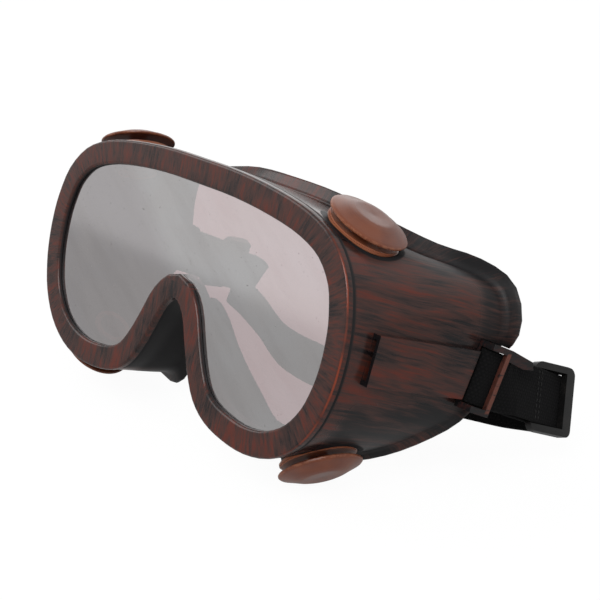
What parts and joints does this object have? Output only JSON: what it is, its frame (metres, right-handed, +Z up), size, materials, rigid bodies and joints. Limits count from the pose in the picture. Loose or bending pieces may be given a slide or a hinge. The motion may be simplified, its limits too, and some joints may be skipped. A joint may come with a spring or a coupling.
{
  "type": "protective goggles",
  "caption": "Wraparound protective goggles with a single pane, a moulded skirt with vents, and an elastic strap with side clips and slide buckles.",
  "frame": {"origin": "on the table under the middle of the whole object, as the goggles stand", "axes": "+Z up, -Y out of the front of the pane, +X towards the wearer's left; parts named right lie at +X, on the right as seen from the front; the plane X = 0 divides the goggles in two mirrored halves"},
  "size_m": [0.189, 0.1026, 0.0891],
  "materials": {
    "frame": "gloss, dark with rust red grain",
    "lens": "clear grey, lightly mirrored",
    "vent_copper": "gloss, copper coloured",
    "vent_black": "matte",
    "clip": "gloss",
    "buckle": "satin",
    "webbing": "woven"
  },
  "bodies": {
    "goggles": {"frame": "frame", "lens": "lens", "vent_seat_upper_right": "vent_copper", "vent_seat_upper_left": "vent_copper", "vent_seat_lower_right": "vent_copper", "vent_seat_lower_left": "vent_copper", "vent_keeper_upper_right": "vent_black", "vent_keeper_upper_left": "vent_black", "vent_keeper_lower_right": "vent_black", "vent_keeper_lower_left": "vent_black", "strap_clip_right": "clip", "strap_clip_left": "clip", "strap": "webbing"},
    "cap_upper_right": {"vent_cap_upper_right": "vent_copper"},
    "cap_upper_left": {"vent_cap_upper_left": "vent_copper"},
    "cap_lower_right": {"vent_cap_lower_right": "vent_copper"},
    "cap_lower_left": {"vent_cap_lower_left": "vent_copper"},
    "slider_right": {"buckle_right": "buckle"},
    "slider_left": {"buckle_left": "buckle"}
  },
  "joints": [
    {"name": "cap_upper_right_turn", "type": "hinge", "parent": "goggles", "child": "cap_upper_right", "pos_m": [0.0633, -0.01535, 0.08064], "axis": [0.4067, 0.3125, 0.8585], "continuous": true},
    {"name": "cap_upper_left_turn", "type": "hinge", "parent": "goggles", "child": "cap_upper_left", "pos_m": [-0.0633, -0.01535, 0.08064], "axis": [-0.4067, 0.3125, 0.8585], "continuous": true},
    {"name": "cap_lower_right_turn", "type": "hinge", "parent": "goggles", "child": "cap_lower_right", "pos_m": [0.06506, -0.0341, 0.00812], "axis": [0.6157, -0.204, -0.7612], "continuous": true},
    {"name": "cap_lower_left_turn", "type": "hinge", "parent": "goggles", "child": "cap_lower_left", "pos_m": [-0.06506, -0.0341, 0.00812], "axis": [-0.6157, -0.204, -0.7612], "continuous": true},
    {"name": "buckle_right_slide", "type": "slide", "parent": "goggles", "child": "slider_right", "axis": [0, 0.891, -0.454], "range_m": [-0.009, 0]},
    {"name": "buckle_left_slide", "type": "slide", "parent": "goggles", "child": "slider_left", "axis": [0, 0.891, -0.454], "range_m": [-0.009, 0]}
  ]
}
